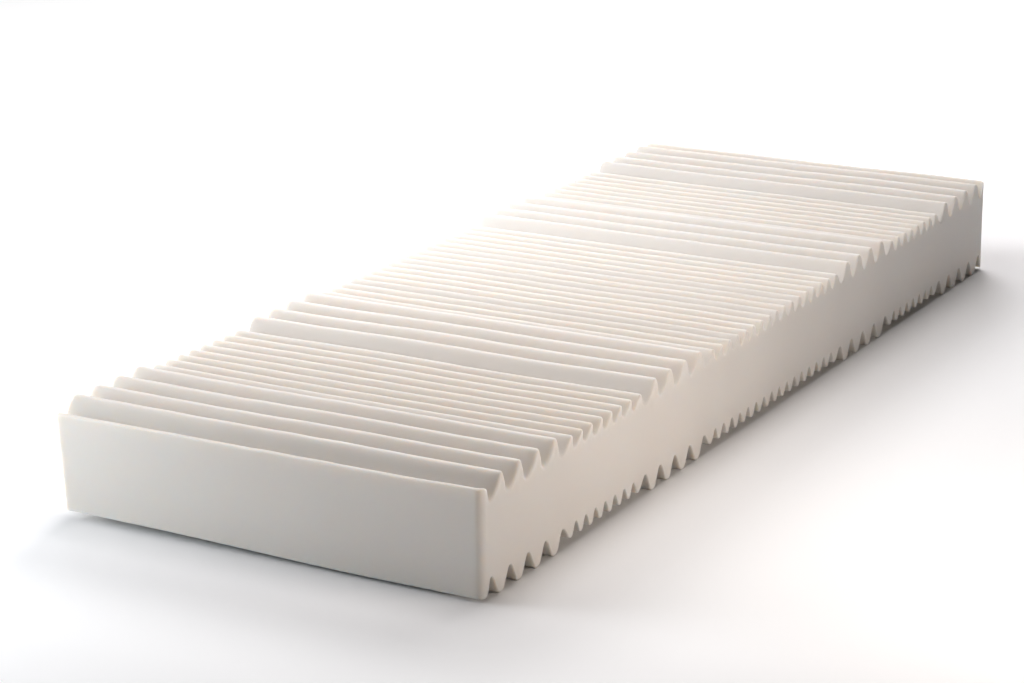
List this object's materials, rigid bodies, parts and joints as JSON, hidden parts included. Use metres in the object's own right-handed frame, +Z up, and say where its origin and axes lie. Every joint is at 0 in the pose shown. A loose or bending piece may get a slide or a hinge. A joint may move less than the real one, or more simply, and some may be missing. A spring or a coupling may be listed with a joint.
{
  "type": "pressure relief mattress",
  "caption": "Bare foam core of a pressure relief mattress, with crosswise rounded ribs on both faces in alternating coarse and fine zones; it folds at hip, thigh and knee.",
  "frame": {"origin": "centre of the footprint, on the surface the mattress lies on", "axes": "+Y towards the head end along the length, +X across the width, +Z up out of the lying surface"},
  "size_m": [0.75, 2, 0.185],
  "materials": {
    "profiled_foam": "off-white open-cell polyurethane foam, wire cut, fully matte",
    "support_foam": "off-white open-cell polyurethane foam, wire cut, fully matte"
  },
  "bodies": {
    "seat_section": {"thigh_flex_upper": "profiled_foam", "thigh_flex_core": "support_foam", "thigh_flex_lower": "profiled_foam", "seat_zone_upper": "profiled_foam", "seat_zone_core": "support_foam", "seat_zone_lower": "profiled_foam", "hip_flex_upper": "profiled_foam", "hip_flex_core": "support_foam", "hip_flex_lower": "profiled_foam"},
    "back_section": {"lumbar_zone_upper": "profiled_foam", "lumbar_zone_core": "support_foam", "lumbar_zone_lower": "profiled_foam", "shoulder_zone_upper": "profiled_foam", "shoulder_zone_core": "support_foam", "shoulder_zone_lower": "profiled_foam", "head_zone_upper": "profiled_foam", "head_zone_core": "support_foam", "head_zone_lower": "profiled_foam"},
    "thigh_section": {"knee_flex_upper": "profiled_foam", "knee_flex_core": "support_foam", "knee_flex_lower": "profiled_foam", "thigh_zone_upper": "profiled_foam", "thigh_zone_core": "support_foam", "thigh_zone_lower": "profiled_foam"},
    "calf_section": {"foot_zone_upper": "profiled_foam", "foot_zone_core": "support_foam", "foot_zone_lower": "profiled_foam", "calf_zone_upper": "profiled_foam", "calf_zone_core": "support_foam", "calf_zone_lower": "profiled_foam"}
  },
  "joints": [
    {"name": "back_raise", "type": "hinge", "parent": "seat_section", "child": "back_section", "pos_m": [0, 0.1787, 0.0925], "axis": [1, 0, 0], "range_deg": [0, 65], "stiffness_Nm_per_rad": 30, "deforming": ["hip_flex_upper", "hip_flex_core", "hip_flex_lower"]},
    {"name": "thigh_raise", "type": "hinge", "parent": "seat_section", "child": "thigh_section", "pos_m": [0, -0.0948, 0.0925], "axis": [-1, 0, 0], "range_deg": [0, 30], "stiffness_Nm_per_rad": 35, "deforming": ["thigh_flex_upper", "thigh_flex_core", "thigh_flex_lower"]},
    {"name": "knee_bend", "type": "hinge", "parent": "thigh_section", "child": "calf_section", "pos_m": [0, -0.3841, 0.0925], "axis": [1, 0, 0], "range_deg": [0, 44], "stiffness_Nm_per_rad": 30, "deforming": ["knee_flex_upper", "knee_flex_core", "knee_flex_lower"]}
  ],
  "couplings": [
    {"joint": "knee_bend", "follows": "thigh_raise", "ratio": 1.4666}
  ]
}
